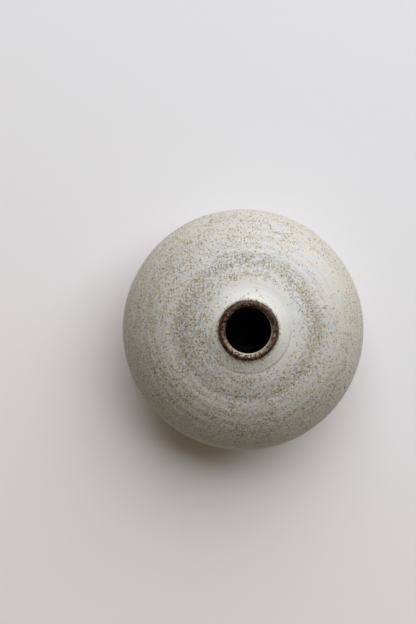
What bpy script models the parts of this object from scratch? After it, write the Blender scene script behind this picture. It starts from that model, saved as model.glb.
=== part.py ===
"""Ceramic bud vase: a squat bottle thrown on the wheel in iron-speckled stoneware.

One clay body carries three fired coats: a pale glaze outside, a dark liner glaze inside,
and a thin brown band over the lip between them. Every piece is turned about the Z axis.
Frame: +Z up, the origin on the table at the centre of the foot ring. Sizes are in metres.
"""

import math

import bpy
from mathutils import Vector

# Overall sizes, over the glaze
BODY_DIAMETER = 0.110
HEIGHT = 0.058
WIDEST_HEIGHT = 0.0280

# Mouth and lip, over the coats
MOUTH_DIAMETER = 0.0200
LIP_WIDTH = 0.0035
LIP_RISE = 0.0017

# The collar is the last pull of the wheel, a steeper cone between the lip and a fine groove
COLLAR_WIDTH = 0.0056
COLLAR_RISE = 0.0025
GROOVE_DEPTH = 0.0002
GROOVE_WIDTH = 0.0012

# Shoulder: a shallow cone that rounds over into the belly, with one throwing hollow round it
SHOULDER_SLOPE = math.radians(12)
SHOULDER_FULLNESS = 4.1
HOLLOW_DIAMETER = 0.0595
HOLLOW_DEPTH = 0.0004
HOLLOW_WIDTH = 0.0038

# Foot: a turned ring of bare clay
FOOT_DIAMETER = 0.0560
FOOT_HEIGHT = 0.0040
FOOT_RING_WIDTH = 0.0050
FOOT_RECESS = 0.0028
FOOT_BEVEL = 0.0006

# Clay and coats
WALL = 0.0048
FLOOR = 0.0062
FLOOR_FULLNESS = 2.3
GLAZE = 0.0005
GLAZE_LINE = 0.0095  # height at which the outer glaze stops
FUSE_GAP = 0.0003  # the modelling clearance between the clay and a coat, and between two coats

# Facets
SEGMENTS = 48
BELLY_STEPS = 6
SHOULDER_STEPS = 12
LIP_STEPS = 6
INSIDE_STEPS = 6
AXIS_MERGE = 0.00001

COAT = FUSE_GAP + GLAZE
CLAY_RADIUS = BODY_DIAMETER / 2 - COAT
CLAY_TOP = HEIGHT - COAT
NECK_RADIUS = MOUTH_DIAMETER / 2 + COAT
LIP_RADIUS = MOUTH_DIAMETER / 2 + LIP_WIDTH - COAT
COLLAR_RADIUS = LIP_RADIUS + COLLAR_WIDTH
COLLAR_FOOT_HEIGHT = CLAY_TOP - LIP_RISE - COLLAR_RISE
INSIDE_RADIUS = CLAY_RADIUS - WALL
FLOOR_HEIGHT = FOOT_RECESS + FLOOR


def bump(distance: float, width: float) -> float:
    """Returns a smooth rise: 1 at no distance, nearly nothing at twice the width."""
    return math.exp(-((distance / width) ** 2))


def dome(radius: float, edge: float) -> tuple[float, float]:
    """Returns the rounded part, from 1 at the axis to 0 at the edge, and the cone's height in metres."""
    share = min(radius / edge, 1.0)
    return math.sqrt(1 - share**SHOULDER_FULLNESS), (edge - radius) * math.tan(SHOULDER_SLOPE)


def shoulder_height(radius: float) -> float:
    """Returns the height of the clay's plain shoulder, which ends at the foot of the collar."""
    top_round, top_cone = dome(COLLAR_RADIUS, CLAY_RADIUS)
    here_round, here_cone = dome(radius, CLAY_RADIUS)
    rounding = (COLLAR_FOOT_HEIGHT - WIDEST_HEIGHT - top_cone) / top_round
    return WIDEST_HEIGHT + rounding * here_round + here_cone


def shoulder_profile() -> list[Vector]:
    """Returns the outside of the clay from the widest ring up to the foot of the lip."""
    points = []
    for step in range(SHOULDER_STEPS + 1):
        angle = math.pi / 2 * step / SHOULDER_STEPS
        radius = COLLAR_RADIUS + (CLAY_RADIUS - COLLAR_RADIUS) * math.cos(angle)
        height = shoulder_height(radius)
        height -= HOLLOW_DEPTH * bump(radius - HOLLOW_DIAMETER / 2, HOLLOW_WIDTH)
        height -= GROOVE_DEPTH * bump(radius - COLLAR_RADIUS, GROOVE_WIDTH)
        points.append(Vector((radius, height)))
    middle = (COLLAR_RADIUS + LIP_RADIUS) / 2
    points.append(Vector((middle, COLLAR_FOOT_HEIGHT + 0.45 * COLLAR_RISE)))
    return points


def belly_profile() -> list[Vector]:
    """Returns the outside of the clay from the top of the foot ring out to the widest ring."""
    foot = FOOT_DIAMETER / 2
    depth = (WIDEST_HEIGHT - FOOT_HEIGHT) / math.sqrt(1 - (foot / CLAY_RADIUS) ** 2)
    start = math.acos(foot / CLAY_RADIUS)
    angles = [start * (1 - step / BELLY_STEPS) for step in range(BELLY_STEPS)]
    return [
        Vector((CLAY_RADIUS * math.cos(a), WIDEST_HEIGHT - depth * math.sin(a))) for a in angles
    ]


def lip_profile() -> list[Vector]:
    """Returns the round over of the clay lip, from its outer foot to its inner edge."""
    middle, half = (LIP_RADIUS + NECK_RADIUS) / 2, (LIP_RADIUS - NECK_RADIUS) / 2
    angles = [math.pi * step / LIP_STEPS for step in range(LIP_STEPS + 1)]
    return [
        Vector((middle + half * math.cos(a), CLAY_TOP - LIP_RISE + LIP_RISE * math.sin(a)))
        for a in angles
    ]


def inside_profile() -> list[Vector]:
    """Returns the inside of the clay, from the bottom of the neck down to the middle of the floor."""
    reach = CLAY_RADIUS / INSIDE_RADIUS
    neck_top = shoulder_height(COLLAR_RADIUS) - WALL / math.cos(SHOULDER_SLOPE)
    squeeze = (neck_top - WIDEST_HEIGHT) / (shoulder_height(COLLAR_RADIUS * reach) - WIDEST_HEIGHT)
    rounding = 0.35 * WALL
    points = [Vector((NECK_RADIUS + rounding, neck_top + 0.4 * rounding))]
    for step in range(INSIDE_STEPS):
        angle = math.pi / 2 * (1 - step / INSIDE_STEPS)
        radius = COLLAR_RADIUS + (INSIDE_RADIUS - COLLAR_RADIUS) * math.cos(angle)
        height = WIDEST_HEIGHT + squeeze * (shoulder_height(radius * reach) - WIDEST_HEIGHT)
        points.append(Vector((radius, height)))
    power = 2 / FLOOR_FULLNESS
    for step in range(INSIDE_STEPS + 1):
        angle = math.pi / 2 * step / INSIDE_STEPS
        radius = INSIDE_RADIUS * math.cos(angle) ** power if step < INSIDE_STEPS else 0.0
        drop = (WIDEST_HEIGHT - FLOOR_HEIGHT) * math.sin(angle) ** power
        points.append(Vector((radius, WIDEST_HEIGHT - drop)))
    return points


def foot_profile() -> list[Vector]:
    """Returns the underside of the clay, from its middle out and round the standing ring."""
    outer = FOOT_DIAMETER / 2 - 0.5 * FOOT_BEVEL
    inner = outer - FOOT_RING_WIDTH
    return [
        Vector((0.0, FOOT_RECESS)),
        Vector((0.55 * inner, FOOT_RECESS)),
        Vector((inner - 0.5 * FOOT_RECESS, FOOT_RECESS)),
        Vector((inner, FOOT_BEVEL)),
        Vector((inner + FOOT_BEVEL, 0.0)),
        Vector((outer - FOOT_BEVEL, 0.0)),
        Vector((outer, FOOT_BEVEL)),
    ]


def shifted(points: list[Vector], distance: float) -> list[Vector]:
    """Returns a copy of an open profile moved sideways, to the right of its direction.

    A point on the axis moves along the axis.
    """
    moved = []
    last = len(points) - 1
    for index, point in enumerate(points):
        along = points[min(index + 1, last)] - points[max(index - 1, 0)]
        if point.x == 0.0:
            along = Vector((along.x, 0.0))
        along = along.normalized()
        moved.append(point + Vector((along.y, -along.x)) * distance)
    return moved


def trimmed(points: list[Vector], start: float, end: float) -> list[Vector]:
    """Returns an open profile cut short by one length at its start and another at its end."""
    kept = list(points)
    for length in (start, end):
        while (kept[1] - kept[0]).length <= length:
            length -= (kept[1] - kept[0]).length
            kept.pop(0)
        kept[0] = kept[0] + (kept[1] - kept[0]).normalized() * length
        kept.reverse()
    return kept


def coat_outline(covered: list[Vector]) -> list[Vector]:
    """Returns the outline of a fired coat that lies to the right of a stretch of clay."""
    return shifted(covered, FUSE_GAP)[::-1] + shifted(covered, COAT)


def outlines() -> dict[str, list[Vector]]:
    """Returns the outline of every piece, the clay first and its coats after it."""
    belly, shoulder = belly_profile(), shoulder_profile()
    lip, inside = lip_profile(), inside_profile()
    clay = foot_profile() + belly + shoulder + lip + inside
    bare = next(i for i in range(len(belly)) if belly[i + 1].y > GLAZE_LINE)
    share = (GLAZE_LINE - belly[bare].y) / (belly[bare + 1].y - belly[bare].y)
    edge = belly[bare].lerp(belly[bare + 1], share)
    outside = [edge, *belly[bare + 1 :], *shoulder, lip[0]]
    return {
        "clay_body": clay,
        "outer_glaze": coat_outline(trimmed(outside, 0.0, COAT + FUSE_GAP)),
        "lip_band": coat_outline(trimmed(lip, FUSE_GAP, FUSE_GAP / 2)),
        "liner_glaze": coat_outline(trimmed([lip[-1], *inside], FUSE_GAP / 2, 0.0)),
    }


def material(name: str, colour: tuple[float, float, float], roughness: float) -> bpy.types.Material:
    """Returns a plain fired surface of that linear colour."""
    made = bpy.data.materials.new(name)
    made.use_nodes = True
    shader = made.node_tree.nodes["Principled BSDF"]
    shader.inputs["Base Color"].default_value = (*colour, 1.0)
    shader.inputs["Roughness"].default_value = roughness
    shader.inputs["Metallic"].default_value = 0.0
    return made


def turned(name: str, outline: list[Vector], finish: bpy.types.Material) -> bpy.types.Object:
    """Returns the solid turned about Z from an outline of (radius, height) points.

    An outline that starts and ends on the axis stays open, and any other is closed.
    """
    on_axis = outline[0].x == 0.0 and outline[-1].x == 0.0
    count = len(outline)
    edges = [(i, i + 1) for i in range(count - 1)] + ([] if on_axis else [(count - 1, 0)])
    mesh = bpy.data.meshes.new(name)
    mesh.from_pydata([(p.x, 0.0, p.y) for p in outline], edges, [])
    mesh.materials.append(finish)
    made = bpy.data.objects.new(name, mesh)
    bpy.context.collection.objects.link(made)
    lathe = made.modifiers.new("Lathe", "SCREW")
    lathe.axis = "Z"
    lathe.steps = SEGMENTS
    lathe.render_steps = SEGMENTS
    lathe.use_smooth_shade = True
    lathe.use_merge_vertices = True
    lathe.merge_threshold = AXIS_MERGE
    lathe.use_normal_calculate = True
    return made


def build() -> None:
    """Clears the scene and makes the clay body and its three coats."""
    for old in list(bpy.data.objects):
        bpy.data.objects.remove(old)
    finishes = {
        "clay_body": material("bare_stoneware", (0.23, 0.155, 0.105), 0.85),
        "outer_glaze": material("oatmeal_glaze", (0.56, 0.555, 0.50), 0.5),
        "lip_band": material("iron_band", (0.085, 0.055, 0.045), 0.35),
        "liner_glaze": material("liner_glaze", (0.045, 0.031, 0.023), 0.4),
    }
    for name, outline in outlines().items():
        turned(name, outline, finishes[name])


build()
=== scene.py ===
"""A squat speckled bud vase, dressed: the clay, its three fired coats, the light and the view.

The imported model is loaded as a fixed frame. Each of its four pieces is stood in for by a finer
one of the same size in the same place, thrown on a wheel as the real vase is: a profile is pulled
up point by point, spun round the axis, and marked by the hand. All lengths are in metres.
"""

from __future__ import annotations

import logging
import math
from collections.abc import Callable
from dataclasses import dataclass, field
from enum import Enum
from typing import Any, Union

import bpy
import numpy as np
from mathutils import Matrix, Vector

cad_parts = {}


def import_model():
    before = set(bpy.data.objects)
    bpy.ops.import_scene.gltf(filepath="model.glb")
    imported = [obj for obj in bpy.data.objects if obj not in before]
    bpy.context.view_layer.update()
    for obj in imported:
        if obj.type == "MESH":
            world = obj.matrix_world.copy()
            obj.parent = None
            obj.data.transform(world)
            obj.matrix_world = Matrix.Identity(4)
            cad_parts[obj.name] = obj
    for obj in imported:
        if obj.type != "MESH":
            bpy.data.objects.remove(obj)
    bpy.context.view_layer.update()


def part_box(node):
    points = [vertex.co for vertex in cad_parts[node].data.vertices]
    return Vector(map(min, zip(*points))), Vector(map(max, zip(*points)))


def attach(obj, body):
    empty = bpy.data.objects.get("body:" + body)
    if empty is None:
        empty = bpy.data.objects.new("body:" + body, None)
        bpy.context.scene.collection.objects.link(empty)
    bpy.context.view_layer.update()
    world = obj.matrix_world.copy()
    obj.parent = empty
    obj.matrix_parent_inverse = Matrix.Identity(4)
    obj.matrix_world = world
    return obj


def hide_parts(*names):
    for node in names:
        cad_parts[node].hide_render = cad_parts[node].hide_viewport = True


LOG = logging.getLogger("bud_vase")
BODY = "root"
MM = 0.001

Colour = tuple[float, float, float]


class Node(str, Enum):
    """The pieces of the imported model."""

    CLAY = "clay_body"
    OUTSIDE = "outer_glaze"
    LIP = "lip_band"
    LINER = "liner_glaze"


class Compass(float, Enum):
    """Directions round the vase, seen from above, as angles from +X."""

    RIGHT = 0.0
    UP_RIGHT = math.pi / 4
    UP = math.pi / 2
    LEFT = math.pi
    DOWN_LEFT = -3 * math.pi / 4
    DOWN = -math.pi / 2
    DOWN_RIGHT = -math.pi / 4


# ---------------------------------------------------------------------------- profiles


def along(line: np.ndarray) -> np.ndarray:
    """Returns the distance travelled at each point of a line.

    Args:
        line: the (radius, height) points, in order.

    Returns:
        One distance per point, from 0.
    """
    steps = np.linalg.norm(np.diff(line, axis=0), axis=1)
    return np.concatenate([[0.0], np.cumsum(steps)])


def evened(line: np.ndarray, spacing: float) -> np.ndarray:
    """Returns a line with points at even steps along its length.

    Args:
        line: the (radius, height) points, in order.
        spacing: the step to aim for.

    Returns:
        The new points, with both ends kept.
    """
    run = along(line)
    stops = np.linspace(0.0, run[-1], max(2, round(run[-1] / spacing) + 1))
    return np.stack([np.interp(stops, run, line[:, axis]) for axis in (0, 1)], axis=1)


def softened(line: np.ndarray, rounds: int) -> np.ndarray:
    """Returns a line whose corners are eased, with both ends kept.

    Args:
        line: the (radius, height) points, in order.
        rounds: how often each point moves to the mean of itself and its neighbours.

    Returns:
        The eased points.
    """
    eased = line.copy()
    for _ in range(rounds):
        eased[1:-1] = (eased[:-2] + 2 * eased[1:-1] + eased[2:]) / 4
    return eased


def outward(line: np.ndarray) -> np.ndarray:
    """Returns the unit normal at each point of a line, to the right of its direction."""
    way = np.gradient(line, axis=0)
    way /= np.linalg.norm(way, axis=1, keepdims=True)
    return np.stack([way[:, 1], -way[:, 0]], axis=1)


def bell(distance: Any, width: float) -> Any:
    """Returns a smooth rise: 1 at no distance, and next to nothing past twice the width."""
    return np.exp(-((distance / width) ** 2))


@dataclass(frozen=True)
class ClayLine:
    """The line of the bare clay in a cut through the axis, which every coat follows.

    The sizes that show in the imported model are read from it, and the others are the thrower's.
    """

    body_radius: float
    top: float
    lip_radius: float
    coat: float = 0.8 * MM
    mouth_radius: float = 10.0 * MM
    widest: float = 28.0 * MM
    lip_rise: float = 1.7 * MM
    collar_width: float = 5.6 * MM
    collar_rise: float = 2.5 * MM
    groove_depth: float = 0.2 * MM
    groove_width: float = 1.2 * MM
    slope: float = math.radians(12)
    fullness: float = 4.1
    hollow_radius: float = 29.75 * MM
    hollow_depth: float = 0.4 * MM
    hollow_width: float = 3.8 * MM
    foot_radius: float = 28.0 * MM
    foot_height: float = 4.0 * MM
    foot_ring: float = 5.0 * MM
    foot_recess: float = 2.8 * MM
    foot_bevel: float = 0.6 * MM
    wall: float = 4.8 * MM
    floor: float = 6.2 * MM
    floor_fullness: float = 2.3
    glaze_line: float = 9.5 * MM

    @classmethod
    def from_frame(cls) -> ClayLine:
        """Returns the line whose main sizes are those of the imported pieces."""
        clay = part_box(Node.CLAY.value)[1]
        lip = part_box(Node.LIP.value)[1]
        return cls(body_radius=clay.x, top=clay.z, lip_radius=lip.x - cls.coat)

    @property
    def neck_radius(self) -> float:
        """Returns the radius of the bare clay inside the lip."""
        return self.mouth_radius + self.coat

    @property
    def collar_radius(self) -> float:
        """Returns the radius at which the collar meets the shoulder."""
        return self.lip_radius + self.collar_width

    @property
    def lip_foot(self) -> float:
        """Returns the height from which the lip rounds up out of the collar."""
        return self.top - self.lip_rise

    def _shoulder_height(self, radius: np.ndarray) -> np.ndarray:
        """Works out the plain shoulder, with no hollow or groove.

        Args:
            radius: the distances from the axis.

        Returns:
            The height at each.
        """
        span = self.lip_foot - self.collar_rise - self.widest
        tip = (self.body_radius - self.collar_radius) * math.tan(self.slope)
        crown = math.sqrt(1 - (self.collar_radius / self.body_radius) ** self.fullness)
        share = np.minimum(radius / self.body_radius, 1.0)
        rounding = (span - tip) / crown * np.sqrt(1 - share**self.fullness)
        return self.widest + rounding + (self.body_radius - radius) * math.tan(self.slope)

    def belly(self) -> np.ndarray:
        """Draws the outside from the foot ring out to the widest ring.

        Returns:
            The (radius, height) points, from the lowest.
        """
        share = self.foot_radius / self.body_radius
        depth = (self.widest - self.foot_height) / math.sqrt(1 - share**2)
        angle = np.linspace(math.acos(share), 0.0, 90)
        return np.stack(
            [self.body_radius * np.cos(angle), self.widest - depth * np.sin(angle)], axis=1
        )

    def shoulder(self) -> np.ndarray:
        """Draws the outside from the widest ring up to the outer foot of the lip.

        Returns:
            The (radius, height) points, from the lowest.
        """
        angle = np.linspace(0.0, math.pi / 2, 160)
        radius = self.collar_radius + (self.body_radius - self.collar_radius) * np.cos(angle)
        height = self._shoulder_height(radius)
        height -= self.hollow_depth * bell(radius - self.hollow_radius, self.hollow_width)
        height -= self.groove_depth * bell(radius - self.collar_radius, self.groove_width)
        collar = [(self.lip_radius, self.lip_foot)]
        return np.concatenate([np.stack([radius, height], axis=1), collar])

    def lip(self) -> np.ndarray:
        """Draws the round over of the lip.

        Returns:
            The (radius, height) points, from its outer foot to its inner edge.
        """
        middle = (self.lip_radius + self.neck_radius) / 2
        half = (self.lip_radius - self.neck_radius) / 2
        angle = np.linspace(0.0, math.pi, 40)
        return np.stack(
            [middle + half * np.cos(angle), self.lip_foot + self.lip_rise * np.sin(angle)],
            axis=1,
        )

    def inside(self) -> np.ndarray:
        """Draws the inside: the neck, the vault under the shoulder and the bowl.

        Returns:
            The (radius, height) points, from under the lip to the middle of the floor.
        """
        inner = self.body_radius - self.wall
        reach = self.body_radius / inner
        start, rise = self.collar_radius, self._shoulder_height
        neck_top = float(rise(np.array(start))) - self.wall / math.cos(self.slope)
        squeeze = (neck_top - self.widest) / (float(rise(np.array(start * reach))) - self.widest)
        easing = 0.35 * self.wall
        neck = [(self.neck_radius + easing, neck_top + 0.4 * easing)]
        angle = np.linspace(math.pi / 2, 0.0, 60)
        radius = start + (inner - start) * np.cos(angle)
        vault = np.stack(
            [radius, self.widest + squeeze * (rise(radius * reach) - self.widest)], axis=1
        )
        power = 2 / self.floor_fullness
        angle = np.linspace(0.0, math.pi / 2, 60)[1:]
        drop = self.widest - self.foot_recess - self.floor
        bowl = np.stack(
            [
                inner * np.maximum(np.cos(angle), 0.0) ** power,
                self.widest - drop * np.sin(angle) ** power,
            ],
            axis=1,
        )
        bowl[-1, 0] = 0.0
        return np.concatenate([neck, vault, bowl])

    def foot(self) -> np.ndarray:
        """Draws the underside and the standing ring.

        Returns:
            The (radius, height) points, from the middle out.
        """
        outer = self.foot_radius - 0.5 * self.foot_bevel
        inner = outer - self.foot_ring
        return np.array(
            [
                (0.0, self.foot_recess),
                (inner - 0.5 * self.foot_recess, self.foot_recess),
                (inner, self.foot_bevel),
                (inner + self.foot_bevel, 0.0),
                (outer - self.foot_bevel, 0.0),
                (outer, self.foot_bevel),
            ]
        )


# ---------------------------------------------------------------------------- the wheel


def set_down() -> None:
    """Leaves object mode and deselects everything, so that an operator acts on its own piece."""
    if bpy.context.object and bpy.context.object.mode != "OBJECT":
        bpy.ops.object.mode_set(mode="OBJECT")
    bpy.ops.object.select_all(action="DESELECT")


@dataclass
class Wheel:
    """Throws one turned piece from its outline.

    An outline runs from the axis to the axis, or is closed by a last edge of its own.
    """

    name: str
    outline: np.ndarray
    segments: int
    piece: bpy.types.Object = field(init=False)

    def __post_init__(self) -> None:
        """Throws the piece as soon as the wheel is set up."""
        self.piece = self._thrown()

    def _thrown(self) -> bpy.types.Object:
        """Shapes the outline, spins it round the axis and closes its seams.

        Returns:
            The finished piece.
        """
        set_down()
        bpy.ops.mesh.primitive_circle_add(vertices=len(self.outline), radius=MM, location=(0, 0, 0))
        piece = bpy.context.active_object
        piece.name = piece.data.name = self.name
        for vertex, (radius, height) in zip(piece.data.vertices, self.outline):
            vertex.co = (radius, 0, height)
        closing = {0, len(self.outline) - 1}
        bpy.ops.object.mode_set(mode="EDIT")
        bpy.ops.mesh.select_mode(type="EDGE")
        bpy.ops.mesh.select_all(action="DESELECT")
        bpy.ops.object.mode_set(mode="OBJECT")
        open_ended = self.outline[0][0] == 0 and self.outline[-1][0] == 0
        for edge in piece.data.edges:
            edge.select = open_ended and set(edge.vertices) == closing
        bpy.ops.object.mode_set(mode="EDIT")
        if open_ended:
            bpy.ops.mesh.delete(type="EDGE")
        bpy.ops.mesh.select_mode(type="VERT")
        bpy.ops.object.mode_set(mode="OBJECT")
        lathe = piece.modifiers.new("Wheel", "SCREW")
        lathe.axis = "Z"
        lathe.steps = lathe.render_steps = self.segments
        lathe.use_smooth_shade = True
        bpy.ops.object.modifier_apply(modifier=lathe.name)
        bpy.ops.object.mode_set(mode="EDIT")
        bpy.ops.mesh.select_all(action="SELECT")
        bpy.ops.mesh.remove_doubles(threshold=0.004 * MM)
        bpy.ops.mesh.normals_make_consistent(inside=False)
        bpy.ops.object.mode_set(mode="OBJECT")
        return piece

    def worked(self, push: Callable[[np.ndarray, np.ndarray], np.ndarray]) -> None:
        """Moves the surface in and out, as fingers and tools do.

        Args:
            push: takes each point's place in the outline and its angle round the axis, and
                returns how far it moves along the outline's normal.
        """
        count = len(self.piece.data.vertices)
        flat = np.empty(count * 3, np.float32)
        self.piece.data.vertices.foreach_get("co", flat)
        points = flat.reshape(-1, 3).astype(float)
        radius = np.hypot(points[:, 0], points[:, 1])
        place = self._places(np.stack([radius, points[:, 2]], axis=1))
        angle = np.arctan2(points[:, 1], points[:, 0])
        normal = outward(self.outline)[place]
        moved = push(place, angle)
        off_axis = radius > 0.5 * MM
        points[:, 2] += normal[:, 1] * moved * off_axis
        radius_out = radius + normal[:, 0] * moved * off_axis
        points[:, 0] = radius_out * np.cos(angle)
        points[:, 1] = radius_out * np.sin(angle)
        self.piece.data.vertices.foreach_set("co", points.astype(np.float32).ravel())
        self.piece.data.update()

    def _places(self, cut: np.ndarray) -> np.ndarray:
        """Finds the outline point that each point was spun from.

        Args:
            cut: the (radius, height) points of the surface.

        Returns:
            The place in the outline of each.
        """
        found = np.empty(len(cut), int)
        for start in range(0, len(cut), 4096):
            some = cut[start : start + 4096]
            gap = np.linalg.norm(some[:, None, :] - self.outline[None, :, :], axis=2)
            found[start : start + 4096] = gap.argmin(axis=1)
        return found

    def uneven(self, size: float, strength: float) -> None:
        """Gives the surface the soft unevenness of a fired coat.

        Args:
            size: how far the lumps are apart.
            strength: how high they are from lowest to highest.
        """
        lumps = bpy.data.textures.new(f"{self.name}_lumps", "CLOUDS")
        lumps.noise_scale = size
        lumps.noise_depth = 2
        set_down()
        bpy.context.view_layer.objects.active = self.piece
        self.piece.select_set(True)
        displace = self.piece.modifiers.new("Lumps", "DISPLACE")
        displace.texture = lumps
        displace.texture_coords = "LOCAL"
        displace.mid_level = 0.5
        displace.strength = strength
        bpy.ops.object.modifier_apply(modifier=displace.name)


# ---------------------------------------------------------------------------- finishes

Value = Union["Wire", float]


class Wire:
    """A socket that takes part in sums: each operator adds the Math node that does it."""

    def __init__(self, tree: bpy.types.NodeTree, socket: bpy.types.NodeSocket) -> None:
        """Wraps an output socket of a node in that tree."""
        self.tree = tree
        self.socket = socket

    def _sum(self, operation: str, first: Value, *others: Value) -> Wire:
        """Adds a Math node.

        Args:
            operation: what it does.
            first: its first value.
            others: its other values.

        Returns:
            The wire from its output.
        """
        node = self.tree.nodes.new("ShaderNodeMath")
        node.operation = operation
        for slot, value in zip(node.inputs, (first, *others)):
            if isinstance(value, Wire):
                self.tree.links.new(value.socket, slot)
            else:
                slot.default_value = value
        return Wire(self.tree, node.outputs[0])

    def __add__(self, other: Value) -> Wire:
        """Returns the sum of both."""
        return self._sum("ADD", self, other)

    __radd__ = __add__

    def __sub__(self, other: Value) -> Wire:
        """Returns this less the other."""
        return self._sum("SUBTRACT", self, other)

    def __rsub__(self, other: Value) -> Wire:
        """Returns the other less this."""
        return self._sum("SUBTRACT", other, self)

    def __mul__(self, other: Value) -> Wire:
        """Returns the product of both."""
        return self._sum("MULTIPLY", self, other)

    __rmul__ = __mul__

    def __truediv__(self, other: Value) -> Wire:
        """Returns this over the other."""
        return self._sum("DIVIDE", self, other)

    def root(self) -> Wire:
        """Returns the square root."""
        return self._sum("SQRT", self)

    def least(self, other: Value) -> Wire:
        """Returns the smaller of both."""
        return self._sum("MINIMUM", self, other)

    def most(self, other: Value) -> Wire:
        """Returns the larger of both."""
        return self._sum("MAXIMUM", self, other)

    def clamped(self) -> Wire:
        """Returns the value held between 0 and 1."""
        return self.most(0.0).least(1.0)

    def over(self, low: float, high: float) -> Wire:
        """Returns 0 at one value and 1 at another, straight between them and held beyond."""
        return ((self - low) / (high - low)).clamped()

    def near(self, centre: Value, width: float) -> Wire:
        """Returns 1 at the centre, easing to nothing past twice the width on both sides."""
        gap = (self - centre) / width
        return self._sum("EXPONENT", gap * gap * -1.0)


@dataclass(frozen=True)
class Speck:
    """One kind of speck in a fired surface.

    "share" is how many of its places hold one where specks are few, and "thickening" how much
    that grows where they lie thick.
    """

    colour: Colour
    cell: float
    reach: float
    soft: float
    strength: float
    share: float
    thickening: float = 0.0


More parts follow.
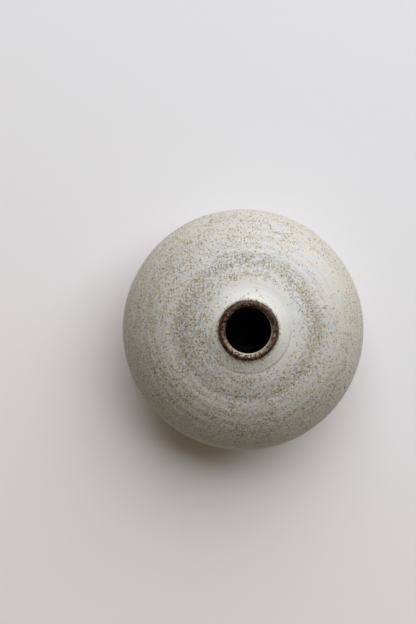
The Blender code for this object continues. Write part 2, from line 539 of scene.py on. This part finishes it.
class Finish:
    """Builds the nodes of one material, in the coordinates of the piece."""

    def __init__(self, name: str) -> None:
        """Starts a material with its shader in place.

        Args:
            name: the material's name.
        """
        self.material = bpy.data.materials.new(name)
        self.material.use_nodes = True
        self.tree = self.material.node_tree
        self.shader = self.tree.nodes["Principled BSDF"]
        self.place = self.node("ShaderNodeTexCoord", out="Object")
        split = self._new("ShaderNodeSeparateXYZ", {}, {"Vector": self.place})
        self.x, self.y, self.z = (Wire(self.tree, socket) for socket in split.outputs)
        self.radius = (self.x * self.x + self.y * self.y).root()

    def _new(self, kind: str, settings: dict[str, Any], sockets: dict[Any, Any]) -> Any:
        """Makes a node.

        Args:
            kind: the node's type.
            settings: its properties, set first.
            sockets: the value or the wire of each input that isn't left as it is.

        Returns:
            The new node.
        """
        node = self.tree.nodes.new(kind)
        for key, value in settings.items():
            setattr(node, key, value)
        for key, value in sockets.items():
            if isinstance(value, Wire):
                self.tree.links.new(value.socket, node.inputs[key])
            else:
                node.inputs[key].default_value = value
        return node

    def node(
        self,
        kind: str,
        settings: dict[str, Any] | None = None,
        sockets: dict[Any, Any] | None = None,
        out: str | int = 0,
    ) -> Wire:
        """Adds a node.

        Args:
            kind: the node's type.
            settings: its properties, set before its sockets.
            sockets: the value or the wire of each input that isn't left as it is.
            out: the output that is used.

        Returns:
            The wire from that output.
        """
        made = self._new(kind, settings or {}, sockets or {})
        return Wire(self.tree, made.outputs[out])

    def toward(self, direction: float) -> Wire:
        """Returns 1 on the side of the vase that faces a direction and 0 on the other."""
        across = self.x * math.cos(direction) + self.y * math.sin(direction)
        return across / self.radius.most(MM) * 0.5 + 0.5

    def blend(self, share: Value, under: Any, upper: Any) -> Wire:
        """Returns one colour laid over another.

        Args:
            share: how much of the upper colour shows, from 0 to 1.
            under: the lower colour, a wire or three linear values.
            upper: the upper colour, a wire or three linear values.

        Returns:
            The wire of the mixed colour.
        """
        sockets = {
            0: share,
            6: under if isinstance(under, Wire) else (*under, 1.0),
            7: upper if isinstance(upper, Wire) else (*upper, 1.0),
        }
        return self.node("ShaderNodeMix", {"data_type": "RGBA"}, sockets, out=2)

    def cloud(self, size: float, detail: float = 2.0, where: Wire | None = None) -> Wire:
        """Returns soft random patches between 0 and 1, a given distance apart."""
        sockets = {"Vector": where or self.place, "Scale": 1 / size, "Detail": detail}
        return self.node("ShaderNodeTexNoise", sockets=sockets)

    def stretched(self, across: float, round_: float) -> Wire:
        """Returns coordinates for marks drawn out round the axis by the turning wheel.

        Args:
            across: the distance between marks up and down the wall.
            round_: the angle between marks round the axis, in radians.

        Returns:
            The wire of a vector on which a pattern of size 1 is laid.
        """
        turn = 1.0 / round_
        safe = self.radius.most(MM)
        sockets = {
            "X": self.x / safe * turn,
            "Y": self.y / safe * turn,
            "Z": (self.radius - self.z) / across,
        }
        return self.node("ShaderNodeCombineXYZ", sockets=sockets)

    def shaken(self, size: float, reach: float) -> Wire:
        """Returns the piece's coordinates, each point pushed about at random.

        Args:
            size: the distance over which the push changes.
            reach: how far a point is pushed at most.

        Returns:
            The wire of the new coordinates.
        """
        sockets = {"Vector": self.place, "Scale": 1 / size, "Detail": 1.0}
        push = self.node("ShaderNodeTexNoise", sockets=sockets, out="Color")
        centred = self.node(
            "ShaderNodeVectorMath", {"operation": "SUBTRACT"}, {0: push, 1: (0.5, 0.5, 0.5)}
        )
        scaled = self.node(
            "ShaderNodeVectorMath", {"operation": "SCALE"}, {0: centred, "Scale": 2 * reach}
        )
        return self.node("ShaderNodeVectorMath", {"operation": "ADD"}, {0: self.place, 1: scaled})

    def specks(self, cell: float, reach: float, share: Value, where: Wire, soft: float) -> Wire:
        """Returns a mask of scattered specks.

        Args:
            cell: the distance between places where a speck may be.
            reach: the mean radius of a speck.
            share: how many of those places hold one, from 0 to 1.
            where: the coordinates that the specks lie in.
            soft: the width of a speck's soft edge.

        Returns:
            The wire of the mask, 1 inside a speck.
        """
        sockets = {"Vector": where, "Scale": 1 / cell}
        cells = self._new("ShaderNodeTexVoronoi", {"feature": "F1"}, sockets)
        gap = Wire(self.tree, cells.outputs["Distance"]) * cell
        split = self._new(
            "ShaderNodeSeparateColor", {}, {"Color": Wire(self.tree, cells.outputs["Color"])}
        )
        chance, size, _ = (Wire(self.tree, socket) for socket in split.outputs)
        there = ((share - chance) * 14.0).clamped()
        return (((size + 0.5) * reach - gap) / soft).clamped() * there

    def sprinkled(
        self, colour: Wire, speck: Speck, density: Value, where: Wire | None = None
    ) -> tuple[Wire, Wire]:
        """Lays one kind of speck over a colour.

        Args:
            colour: the colour under the specks.
            speck: the kind of speck.
            density: how thick the specks lie, from 0 to 1.
            where: the coordinates that they lie in, or nothing for the piece's own.

        Returns:
            The new colour, and the mask of the specks.
        """
        share = density * speck.thickening + speck.share
        mask = self.specks(speck.cell, speck.reach, share, where or self.place, speck.soft)
        return self.blend(mask * speck.strength, colour, speck.colour), mask

    def done(
        self, colour: Wire, roughness: Value, height: Wire | None = None, depth: float = 0.0
    ) -> bpy.types.Material:
        """Connects the finished patterns to the shader.

        Args:
            colour: the colour of the surface.
            roughness: its roughness.
            height: a relief between 0 and 1, or nothing.
            depth: how deep that relief is.

        Returns:
            The finished material.
        """
        self.tree.links.new(colour.socket, self.shader.inputs["Base Color"])
        if isinstance(roughness, Wire):
            self.tree.links.new(roughness.socket, self.shader.inputs["Roughness"])
        else:
            self.shader.inputs["Roughness"].default_value = roughness
        if height is not None:
            sockets = {"Height": height, "Distance": depth, "Strength": 1.0}
            bump = self.node("ShaderNodeBump", {}, sockets)
            self.tree.links.new(bump.socket, self.shader.inputs["Normal"])
        return self.material


@dataclass(frozen=True)
class Band:
    """A ring on one side of the vase, where specks lie thicker, or thinner at a gain under 0."""

    radius: float
    width: float
    way: float
    low: float
    high: float
    gain: float

    def on(self, finish: Finish, radius: Wire) -> Wire:
        """Returns how much the band adds at a radius."""
        side = finish.toward(self.way).over(self.low, self.high)
        return radius.near(self.radius, self.width) * side * self.gain


@dataclass(frozen=True)
class OatmealGlaze:
    """A semi-matte milky glaze over iron-speckled clay, darker where the wheel left rings."""

    milk: Colour = (0.615, 0.635, 0.635)
    cream: Colour = (0.64, 0.605, 0.51)
    thick: Colour = (0.74, 0.73, 0.69)
    # grey of the clouds and rings, also laid as painted shade on the lower left edge and in the
    # fine groove below the lip
    smoke_and_shade: Colour = (0.23, 0.217, 0.17)
    thin: Colour = (0.37, 0.32, 0.225)
    halo: Colour = (0.26, 0.19, 0.09)
    iron: Colour = (0.060, 0.034, 0.018)
    dust: Speck = Speck((0.245, 0.19, 0.065), 0.85 * MM, 0.32 * MM, 0.14 * MM, 0.76, 0.02, 1.15)
    freckles: Speck = Speck((0.35, 0.245, 0.05), 1.25 * MM, 0.42 * MM, 0.20 * MM, 0.74, 0.12, 0.85)
    pepper: Speck = Speck((0.085, 0.07, 0.045), 1.20 * MM, 0.34 * MM, 0.15 * MM, 0.72, -0.16, 1.05)
    spots: Speck = Speck((0.26, 0.17, 0.03), 2.6 * MM, 0.54 * MM, 0.24 * MM, 0.74, 0.08, 0.75)
    blots: Speck = Speck(iron, 8.5 * MM, 0.60 * MM, 0.22 * MM, 0.85, 0.50)
    crumbs: Speck = Speck(iron, 0.95 * MM, 0.36 * MM, 0.16 * MM, 0.80, 0.0, 1.2)
    few: float = 0.43
    ring_radius: float = 29.8 * MM
    ring_width: float = 3.0 * MM
    ring_gain: float = 0.66
    bands: tuple[Band, ...] = (
        Band(23.8 * MM, 1.3 * MM, Compass.UP.value, 0.72, 0.95, 0.40),
        Band(23.0 * MM, 4.5 * MM, Compass.LEFT.value, 0.75, 1.0, 0.40),
        Band(22.5 * MM, 3.5 * MM, Compass.DOWN_LEFT.value, 0.5, 0.9, 0.20),
        Band(42.0 * MM, 6.5 * MM, Compass.RIGHT.value + 0.5, 0.8, 1.0, -0.50),
    )
    # a ring of specks near the edge, real all round but laid thicker on the lower left, away from
    # the window, as painted shade
    rim_radius: float = 44.0 * MM
    rim_width: float = 7.0 * MM
    rim_gain: float = 0.26
    # the fine groove line below the lip, darkened on its lower side as painted shade
    arc_radius: float = 18.7 * MM
    arc_width: float = 0.42 * MM
    halo_start: float = 0.8 * MM
    halo_end: float = 1.7 * MM
    roughness: float = 0.42
    relief: float = 0.06 * MM

    def _pooled(self, finish: Finish) -> Wire:
        """Returns where the glaze pooled thick round the lip, from 0 to 1."""
        wander = (finish.cloud(12 * MM, 3.0) - 0.5) * (7.0 * MM)
        reach = finish.toward(Compass.RIGHT + 0.4) * (6.5 * MM) + 18.0 * MM
        return ((reach + wander - finish.radius) / (6.0 * MM) + 0.5).clamped()

    def _density(self, finish: Finish, pooled: Wire) -> Wire:
        """Works out how thick the specks lie, in the rings that the wheel left, thicker near the
        edge on the lower left as painted shade.

        Args:
            finish: the material.
            pooled: where the glaze is thick, which hides specks.

        Returns:
            The density, from 0 to 1.
        """
        radius = finish.radius + (finish.cloud(30 * MM, 2.0) - 0.5) * (6.0 * MM)
        strong = finish.toward(Compass.UP) * 0.42 + 0.66
        ring = radius.near(self.ring_radius, self.ring_width) * strong
        # painted shade: the ring near the edge is thickened toward the lower left, away from the
        # window
        painted_shade_side = finish.toward(Compass.DOWN_LEFT + 0.3) + 0.25
        rim = radius.near(self.rim_radius, self.rim_width) * painted_shade_side
        density = ring * self.ring_gain + rim * self.rim_gain + self.few
        for band in self.bands:
            density = density + band.on(finish, radius)
        patches = finish.cloud(1.0, 3.0, finish.stretched(6 * MM, 0.30)) * 0.9 - 0.45
        clumps = finish.cloud(5 * MM, 3.0) * 0.6 - 0.30
        hidden = pooled * (finish.toward(Compass.UP_RIGHT) * 0.34 + 0.12)
        return (density + patches + clumps - hidden).clamped()

    def _ground(self, finish: Finish, pooled: Wire, density: Wire) -> Wire:
        """Lays the milky ground, with cream clouds, paler where the glaze pooled.

        Args:
            finish: the material.
            pooled: where the glaze is thick.
            density: how thick the specks lie.

        Returns:
            The colour.
        """
        warm = finish.cloud(6 * MM, 3.0).over(0.35, 0.65) * (1.0 - density * 0.6)
        colour = finish.blend(warm * 0.75, self.milk, self.cream)
        deep = 0.95 - finish.toward(Compass.UP_RIGHT) * 0.68
        return finish.blend(pooled * deep, colour, self.thick)

    def _smoked(
        self, finish: Finish, colour: Wire, density: Wire, lines: Wire, mist: Wire
    ) -> Wire:
        """Lays the grey clouds, the dark flanks of the ring, and painted shade in the fine groove
        below the lip.

        Args:
            finish: the material.
            colour: the colour so far.
            density: how thick the specks lie.
            lines: the streaks of the wheel.
            mist: small clouds.

        Returns:
            The new colour.
        """
        veil = (lines * 0.18 + mist * 0.55 + 0.08) * (density * 0.85 + 0.15)
        colour = finish.blend(veil.least(0.8), colour, self.smoke_and_shade)
        sideways = finish.x / finish.radius.most(MM)
        flank = sideways * sideways * sideways * sideways
        girdle = finish.radius.near(self.ring_radius, 1.2 * self.ring_width) * flank
        girdle = girdle * (finish.toward(Compass.LEFT) * 0.14 + 0.24) * (mist * 0.90 + 0.55)
        colour = finish.blend(girdle, colour, self.smoke_and_shade)
        # painted shade: the groove below the lip is darkened on the lower side, away from the
        # window
        lower = finish.toward(Compass.DOWN).over(0.38, 0.80)
        arc = finish.radius.near(self.arc_radius, self.arc_width) * lower
        return finish.blend(arc * (lines * 0.45 + 0.42), colour, self.smoke_and_shade)

    def _thinned(self, finish: Finish, colour: Wire, line: ClayLine, lines: Wire) -> Wire:
        """Wears the coat thin and warm toward the widest ring and the foot, less on the top side as
        painted light, and greys the lower left edge as painted shade.

        Args:
            finish: the material.
            colour: the colour so far.
            line: the line of the vase.
            lines: the streaks of the wheel.

        Returns:
            The new colour.
        """
        edge = finish.radius.over(0.62 * line.body_radius, line.body_radius)
        low = 1.0 - finish.z.over(line.glaze_line, line.widest + 6 * MM)
        # painted light: the thin warm coat is laid less on the top side, which faces the window
        painted_light_top = 1.0 - finish.toward(Compass.UP).over(0.60, 1.0) * 0.35
        thinness_and_painted_light = (edge * painted_light_top * 0.80 + low * 0.35).clamped() * (lines * 0.55 + 0.52)
        colour = finish.blend(thinness_and_painted_light, colour, self.thin)
        # painted shade: the edge on the lower left, away from the window, is greyed
        painted_shade_edge = edge * finish.toward(Compass.DOWN_LEFT + 0.3).over(0.45, 1.0)
        return finish.blend(painted_shade_edge * 0.26, colour, self.smoke_and_shade)

    def material(self, line: ClayLine) -> bpy.types.Material:
        """Builds the glaze, coat by coat.

        Args:
            line: the line of the vase that it lies on.

        Returns:
            The material.
        """
        finish = Finish("oatmeal_glaze")
        pooled = self._pooled(finish)
        density = self._density(finish, pooled)
        shaken = finish.shaken(0.55 * MM, 0.24 * MM)
        lines = finish.cloud(1.0, 4.0, finish.stretched(0.9 * MM, 0.45)).over(0.48, 0.70)
        mist = finish.cloud(0.95 * MM, 4.0, shaken).over(0.44, 0.60)
        colour = self._ground(finish, pooled, density)
        colour = self._smoked(finish, colour, density, lines, mist)
        colour = self._thinned(finish, colour, line, lines)
        colour, _ = finish.sprinkled(colour, self.dust, density, shaken)
        colour, _ = finish.sprinkled(colour, self.freckles, density, shaken)
        colour, pepper = finish.sprinkled(colour, self.pepper, density, shaken)
        colour, _ = finish.sprinkled(colour, self.spots, density, shaken)
        colour, blots = finish.sprinkled(colour, self.blots, density, shaken)
        beyond = finish.radius - line.lip_radius
        rim = 1.0 - beyond.over(self.halo_start, self.halo_end)
        colour = finish.blend(rim * (mist * 0.65 + 0.30), colour, self.halo)
        colour, _ = finish.sprinkled(colour, self.crumbs, rim, shaken)
        grain = finish.cloud(0.7 * MM, 3.0)
        height = grain * 0.5 + finish.cloud(3.5 * MM, 1.0) - pepper * 0.35 - blots * 0.5
        return finish.done(colour, grain * 0.12 + self.roughness, height, self.relief)


@dataclass(frozen=True)
class IronBand:
    """The satin brown that runs over the lip, milky and pink where it thickens inside, thicker on
    the lower side as painted light, with a painted highlight along the inner edge.
    """

    chocolate: Colour = (0.012, 0.005, 0.003)
    umber: Colour = (0.125, 0.058, 0.032)
    milk: Colour = (0.62, 0.49, 0.385)
    cream: Colour = (0.66, 0.58, 0.43)
    tan: Colour = (0.22, 0.145, 0.065)
    drops: Speck = Speck(milk, 1.00 * MM, 0.34 * MM, 0.14 * MM, 0.75, 0.06, 1.0)
    dots: Speck = Speck(chocolate, 1.40 * MM, 0.50 * MM, 0.12 * MM, 0.90, 0.52)
    shine: float = 0.28
    roughness: float = 0.24
    relief: float = 0.14 * MM

    def material(self, line: ClayLine) -> bpy.types.Material:
        """Builds the band.

        Args:
            line: the line of the vase whose lip it lies on.

        Returns:
            The material.
        """
        finish = Finish("iron_band")
        finish.shader.inputs["Specular IOR Level"].default_value = self.shine
        middle = (line.lip_radius + line.neck_radius) / 2
        half = (line.lip_radius - line.neck_radius) / 2 + line.coat
        across = (finish.radius - middle) / half
        grain = finish.shaken(0.6 * MM, 0.3 * MM)
        patches = finish.cloud(1.15 * MM, 3.0, grain)
        colour = finish.blend(patches.over(0.48, 0.56), self.chocolate, self.umber)
        # painted light: the milky pink inside the lip is laid thicker on the lower side, whose
        # inner slope faces the window
        below = finish.toward(Compass.DOWN)
        lit = below * below
        inward = 1.0 - (across + (patches - 0.5) * 1.8).over(-0.45, 0.25)
        skin = finish.cloud(0.75 * MM, 3.0).over(0.47, 0.56)
        colour = finish.blend(inward * skin * (lit * 0.58 + 0.12), colour, self.milk)
        milky = inward * (lit * 0.45 + 0.36)
        colour, drops = finish.sprinkled(colour, self.drops, milky, grain)
        colour, _ = finish.sprinkled(colour, self.dots, milky, grain)
        # painted highlight: a cream line on the inner edge, on the lower right, where the inside of
        # the neck faces the window
        sunk = 1.0 - across.over(-0.80, -0.66)
        painted_light_facing = (finish.toward(Compass.DOWN_RIGHT) * 1.8 - 0.45).clamped()
        colour = finish.blend(sunk * painted_light_facing * 0.9, colour, self.cream)
        outer = across.over(0.80, 1.0) * patches.over(0.40, 0.60)
        colour = finish.blend(outer * 0.9, colour, self.tan)
        return finish.done(colour, patches * 0.18 + self.roughness, patches + drops, self.relief)


@dataclass(frozen=True)
class LinerGlaze:
    """The glaze poured inside, near black as painted shade for the dim inside of the neck, with the
    rings of the wheel showing through.
    """

    # painted shade: near-black colours stand in for the shade inside the neck
    deep: Colour = (0.010, 0.007, 0.005)
    warm: Colour = (0.032, 0.021, 0.014)
    flecks: Speck = Speck(deep, 1.6 * MM, 0.3 * MM, 0.15 * MM, 0.5, 0.5)
    shine: float = 0.25
    roughness: float = 0.40
    relief: float = 0.08 * MM

    def material(self) -> bpy.types.Material:
        """Builds the liner.

        Returns:
            The material.
        """
        finish = Finish("liner_glaze")
        finish.shader.inputs["Specular IOR Level"].default_value = self.shine
        streaks = finish.cloud(1.0, 3.0, finish.stretched(2.5 * MM, 0.5))
        colour = finish.blend(streaks.over(0.35, 0.7), self.deep, self.warm)
        colour, _ = finish.sprinkled(colour, self.flecks, 0.0)
        return finish.done(colour, streaks * 0.15 + self.roughness, streaks, self.relief)


@dataclass(frozen=True)
class BareClay:
    """Unglazed stoneware: warm brown, sandy, scored by the turning tool."""

    light: Colour = (0.36, 0.255, 0.175)
    dark: Colour = (0.20, 0.125, 0.080)
    sand: Colour = (0.46, 0.38, 0.29)
    grog: Speck = Speck(sand, 1.1 * MM, 0.22 * MM, 0.12 * MM, 0.60, 0.35)
    iron: Speck = Speck((0.055, 0.035, 0.024), 1.7 * MM, 0.25 * MM, 0.1 * MM, 0.85, 0.45)
    roughness: float = 0.80
    relief: float = 0.12 * MM

    def material(self, line: ClayLine) -> bpy.types.Material:
        """Builds the bare clay.

        Args:
            line: the line of the vase.

        Returns:
            The material.
        """
        finish = Finish("bare_stoneware")
        toned = finish.cloud(9 * MM, 4.0).over(0.3, 0.7)
        colour = finish.blend(toned, self.light, self.dark)
        scored = finish.cloud(1.0, 3.0, finish.stretched(0.45 * MM, 0.7))
        colour = finish.blend(scored.over(0.5, 0.75) * 0.5, colour, self.dark)
        colour, grog = finish.sprinkled(colour, self.grog, 0.0)
        colour, _ = finish.sprinkled(colour, self.iron, 0.0, finish.shaken(1 * MM, 0.3 * MM))
        worn = (1.0 - finish.z.over(0.0, 0.35 * MM)) * 0.35
        colour = finish.blend(worn, colour, self.sand)
        flash = finish.z.near(line.glaze_line, 1.6 * MM) * 0.6
        colour = finish.blend(flash, colour, self.dark)
        height = scored * 0.6 + finish.cloud(0.4 * MM, 2.0) * 0.4 + grog * 0.3
        return finish.done(colour, self.roughness, height, self.relief)


@dataclass(frozen=True)
class PaleFloor:
    """A plain pale painted surface, tinted cooler toward the window and warmer away from it as
    painted light.
    """

    painted_window_cool: Colour = (0.852, 0.858, 0.888)
    warm: Colour = (0.872, 0.846, 0.834)
    turn: float = math.radians(62)
    reach: float = 0.13
    roughness: float = 0.65

    def material(self) -> bpy.types.Material:
        """Builds the paint, with painted light: cooler toward the window, warmer away from it.

        Returns:
            The material.
        """
        finish = Finish("pale_floor")
        # painted light: the paint is cooler toward the window and warmer away from it, as the
        # window and the bounce light tint it
        across = finish.x * math.cos(self.turn) + finish.y * math.sin(self.turn)
        patches = (finish.cloud(0.12, 3.0) - 0.5) * self.reach
        share = (across + patches).over(-self.reach, self.reach)
        colour = finish.blend(share, self.warm, self.painted_window_cool)
        return finish.done(colour, self.roughness, finish.cloud(4 * MM, 4.0), 0.03 * MM)


# ---------------------------------------------------------------------------- the pieces


def placed(wheel: Wheel, node: Node, finish: bpy.types.Material) -> None:
    """Dresses a thrown piece and lets it stand in for a packed one.

    Args:
        wheel: the wheel that the piece was thrown on.
        node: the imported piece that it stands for.
        finish: its material.
    """
    wheel.piece.data.materials.clear()
    wheel.piece.data.materials.append(finish)
    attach(wheel.piece, BODY)
    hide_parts(node.value)
    LOG.info("%s: %d faces", wheel.piece.name, len(wheel.piece.data.polygons))


@dataclass
class ClayBody:
    """The thrown and turned stoneware, of which the foot and the underside show."""

    line: ClayLine
    segments: int = 288
    step: float = 0.35 * MM
    covered_step: float = 2.0 * MM
    scoring: float = 0.05 * MM
    scoring_step: float = 1.9 * MM

    def outline(self) -> np.ndarray:
        """Draws the whole line of the clay.

        Returns:
            The (radius, height) points, from the axis under the foot to the axis inside.
        """
        line = self.line
        foot = evened(line.foot(), self.step)
        belly = line.belly()
        bare = belly[:, 1] < line.glaze_line + 2 * MM
        shown = evened(belly[bare], self.step)
        hidden = np.concatenate([belly[~bare], line.shoulder(), line.lip(), line.inside()])
        covered = evened(hidden, self.covered_step)
        whole = softened(np.concatenate([foot, shown, covered]), 1)
        whole[0, 0] = whole[-1, 0] = 0.0
        return whole

    def build(self) -> Wheel:
        """Throws the clay and scores its foot with the turning tool.

        Returns:
            The wheel with the finished piece.
        """
        outline = self.outline()
        wheel = Wheel("clay", outline, self.segments)
        run = along(outline)
        low = outline[:, 1] < self.line.glaze_line + 2 * MM
        flat = outline[:, 1] > 0.05 * MM
        outside = np.arange(len(outline)) < len(outline) // 2
        scored = (low & flat & outside).astype(float)

        def push(place: np.ndarray, angle: np.ndarray) -> np.ndarray:
            """Returns the depth of the spiral score at each point."""
            turn = run[place] / self.scoring_step * math.tau + angle
            return scored[place] * self.scoring * np.sin(turn)

        wheel.worked(push)
        return wheel

    def dress(self, wheel: Wheel) -> None:
        """Gives the clay its bare finish."""
        placed(wheel, Node.CLAY, BareClay().material(self.line))


@dataclass
class OuterCoat:
    """The pale glaze, from a rolled edge above the foot up to the foot of the lip."""

    line: ClayLine
    segments: int = 360
    step: float = 0.6 * MM
    sunk: float = 0.12 * MM
    roll: float = 0.9 * MM
    bead: float = 0.30 * MM
    bead_place: float = 1.6 * MM
    fillet: float = 0.30 * MM
    ring_step: float = 4.3 * MM
    ring_depth: float = 0.055 * MM
    groove_radius: float = 18.6 * MM
    groove_depth: float = 0.20 * MM
    easing_rounds: int = 14
    easing_width: float = 4.5 * MM

    def _covered(self) -> np.ndarray:
        """Returns the stretch of clay that the coat lies on."""
        whole = np.concatenate([self.line.belly(), self.line.shoulder()])
        return evened(whole[whole[:, 1] > self.line.glaze_line - 0.001 * MM], self.step)

    def outline(self) -> tuple[np.ndarray, int]:
        """Draws the coat on the clay, with a rolled edge below and a fillet at the lip.

        Returns:
            The closed outline, and how many of its points are on the outside.
        """
        clay = self._covered()
        run = along(clay)
        rounded = np.sqrt(np.clip(1 - (1 - run / self.roll).clip(0, 1) ** 2, 0, 1))
        thick = self.line.coat * rounded + self.bead * bell(run - self.bead_place, self.roll)
        near_lip = np.clip(clay[:, 0] - self.line.lip_radius - self.line.coat, 0, None)
        thick += self.fillet * np.exp(-near_lip / (0.7 * MM))
        thick[0] = -self.sunk
        skin = clay + outward(clay) * thick[:, None]
        crease = bell(skin[:, :1] - self.line.collar_radius, self.easing_width)
        skin += (softened(skin, self.easing_rounds) - skin) * crease
        back = evened((clay - outward(clay) * self.sunk)[::-1], 4 * self.step)
        return np.concatenate([skin, back]), len(skin)

    def build(self) -> Wheel:
        """Throws the coat and leaves the marks of fingers, sponge and kiln on it.

        Returns:
            The wheel with the finished piece.
        """
        outline, outside = self.outline()
        wheel = Wheel("glaze_outside", outline, self.segments)
        run = along(outline)
        shown = (np.arange(len(outline)) < outside).astype(float)
        fade = np.clip(outline[:, 0] / (14 * MM) - 1, 0, 1) * shown

        def push(place: np.ndarray, angle: np.ndarray) -> np.ndarray:
            """Works out how far each point stands off the plain coat.

            Args:
                place: each point's place in the outline.
                angle: its angle round the axis.

            Returns:
                The distances along the normal.
            """
            turn = run[place] / self.ring_step * math.tau + angle
            rings = np.sin(turn) + 0.5 * np.sin(2.3 * turn + 2.0 * np.sin(angle + 1.0))
            groove = bell(outline[place, 0] - self.groove_radius, 0.35 * MM)
            side = np.clip(0.35 + np.cos(angle - Compass.DOWN_RIGHT - 0.2), 0, 1)
            return fade[place] * (self.ring_depth * rings - self.groove_depth * groove * side)

        wheel.worked(push)
        wheel.uneven(14 * MM, 0.22 * MM)
        return wheel

    def dress(self, wheel: Wheel) -> None:
        """Gives the coat its speckled glaze."""
        placed(wheel, Node.OUTSIDE, OatmealGlaze().material(self.line))


@dataclass
class LipRoll:
    """The brown band that rolls over the lip."""

    line: ClayLine
    segments: int = 320
    step: float = 0.14 * MM
    sunk: float = 0.12 * MM
    wave: float = 0.05 * MM

    def outline(self) -> np.ndarray:
        """Draws the band over the lip.

        Returns:
            The closed outline.
        """
        lip = self.line.lip()
        low = np.array([[0.0, 0.5 * MM]])
        clay = evened(np.concatenate([lip[:1] - low, lip, lip[-1:] - low]), self.step)
        clay = softened(clay, 2)
        skin = clay + outward(clay) * self.line.coat
        back = evened((clay - outward(clay) * self.sunk)[::-1], 3 * self.step)
        return np.concatenate([skin, back])

    def build(self) -> Wheel:
        """Throws the band, a little uneven as a dipped lip is.

        Returns:
            The wheel with the finished piece.
        """
        outline = self.outline()
        wheel = Wheel("glaze_lip", outline, self.segments)
        shown = outline[:, 1] > self.line.lip_foot

        def push(place: np.ndarray, angle: np.ndarray) -> np.ndarray:
            """Returns the slow wave round the lip."""
            wave = np.sin(3 * angle + 0.7) + 0.7 * np.sin(7 * angle + 2.1)
            return shown[place] * (self.wave * wave - 1.7 * self.wave)

        wheel.worked(push)
        wheel.uneven(1.6 * MM, 0.10 * MM)
        return wheel

    def dress(self, wheel: Wheel) -> None:
        """Gives the band its iron glaze."""
        placed(wheel, Node.LIP, IronBand().material(self.line))


@dataclass
class Liner:
    """The coat poured inside."""

    line: ClayLine
    segments: int = 256
    step: float = 1.0 * MM
    sunk: float = 0.12 * MM
    ring_step: float = 5.0 * MM
    ring_depth: float = 0.15 * MM

    def outline(self) -> np.ndarray:
        """Draws the liner on the inside of the clay.

        Returns:
            The outline, from the axis under the coat, round the neck, to the axis.
        """
        lip = self.line.lip()[-1:]
        clay = softened(evened(np.concatenate([lip, self.line.inside()]), self.step), 3)
        skin = clay + outward(clay) * self.line.coat
        back = evened((clay - outward(clay) * self.sunk)[::-1], 3 * self.step)
        skin[-1, 0] = back[0, 0] = 0.0
        return np.concatenate([back, skin])

    def build(self) -> Wheel:
        """Throws the liner over the rings that fingers left inside.

        Returns:
            The wheel with the finished piece.
        """
        outline = self.outline()
        wheel = Wheel("glaze_inside", outline, self.segments)
        run = along(outline)
        shown = np.arange(len(outline)) > len(outline) - len(self.line.inside()) // 2

        def push(place: np.ndarray, angle: np.ndarray) -> np.ndarray:
            """Returns the height of the finger rings."""
            turn = run[place] / self.ring_step * math.tau + angle
            return shown[place] * self.ring_depth * np.sin(turn)

        wheel.worked(push)
        return wheel

    def dress(self, wheel: Wheel) -> None:
        """Gives the liner its dark glaze."""
        placed(wheel, Node.LINER, LinerGlaze().material())


# ---------------------------------------------------------------------------- the studio


@dataclass
class Studio:
    """A pale floor, one soft window, a weak fill from all round and the camera above."""

    line: ClayLine
    floor_size: float = 60.0
    sun_way: float = math.radians(68)
    sun_height: float = math.radians(36)
    sun_distance: float = 2.1
    sun_size: float = 3.38
    sun_power: float = 95.0
    sun_tint: Colour = (0.96, 0.985, 1.02)
    sky: Colour = (1.0, 0.78, 0.54)
    sky_strength: float = 0.125
    camera_distance: float = 0.55
    camera_aim: tuple[float, float] = (-16.20 * MM, 8.12 * MM)
    camera_lean: tuple[float, float] = (math.radians(-2.7), math.radians(-0.1))
    frame_height: float = 0.2848
    sensor: float = 36.0

    def lay_floor(self) -> None:
        """Lays the floor."""
        set_down()
        bpy.ops.mesh.primitive_grid_add(x_subdivisions=8, y_subdivisions=8, size=self.floor_size)
        floor = bpy.context.active_object
        floor.name = "floor"
        floor.data.materials.append(PaleFloor().material())

    def light(self) -> None:
        """Hangs the window light and sets the fill."""
        flat = math.cos(self.sun_height)
        east = flat * math.cos(self.sun_way)
        north = flat * math.sin(self.sun_way)
        way = Vector((east, north, math.sin(self.sun_height)))
        lamp = bpy.data.lights.new("window", "AREA")
        lamp.shape = "SQUARE"
        lamp.size = self.sun_size
        lamp.energy = self.sun_power
        lamp.color = self.sun_tint
        window = bpy.data.objects.new("window", lamp)
        bpy.context.scene.collection.objects.link(window)
        window.location = way * self.sun_distance
        window.rotation_euler = way.to_track_quat("Z", "Y").to_euler()
        world = bpy.data.worlds.new("fill")
        bpy.context.scene.world = world
        world.use_nodes = True
        background = world.node_tree.nodes["Background"]
        background.inputs["Color"].default_value = (*self.sky, 1.0)
        background.inputs["Strength"].default_value = self.sky_strength

    def stand_camera(self) -> None:
        """Stands the camera almost straight above the vase."""
        aim = Vector((*self.camera_aim, self.line.widest))
        lean = Vector((math.sin(self.camera_lean[0]), math.sin(self.camera_lean[1]), 1.0))
        lens = bpy.data.cameras.new("overhead")
        lens.sensor_fit = "VERTICAL"
        lens.sensor_height = self.sensor
        lens.lens = self.sensor * self.camera_distance / self.frame_height
        camera = bpy.data.objects.new("overhead", lens)
        bpy.context.scene.collection.objects.link(camera)
        back = lean.normalized()
        right = (Vector((1, 0, 0)) - back * back.x).normalized()
        turned = Matrix((right, back.cross(right), back)).transposed()
        camera.location = aim + back * self.camera_distance
        camera.rotation_euler = turned.to_euler()
        bpy.context.scene.camera = camera

    def set_tones(self) -> None:
        """Shows colours as they are lit, with no film look."""
        bpy.context.scene.view_settings.view_transform = "Standard"


def main() -> None:
    """Loads the frame, builds and dresses every piece, and sets up the studio."""
    logging.basicConfig(level=logging.INFO, format="%(name)s: %(message)s")
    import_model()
    line = ClayLine.from_frame()
    for maker in (ClayBody(line), OuterCoat(line), LipRoll(line), Liner(line)):
        maker.dress(maker.build())
    studio = Studio(line)
    studio.lay_floor()
    studio.light()
    studio.stand_camera()
    studio.set_tones()


if __name__ == "__main__":
    main()
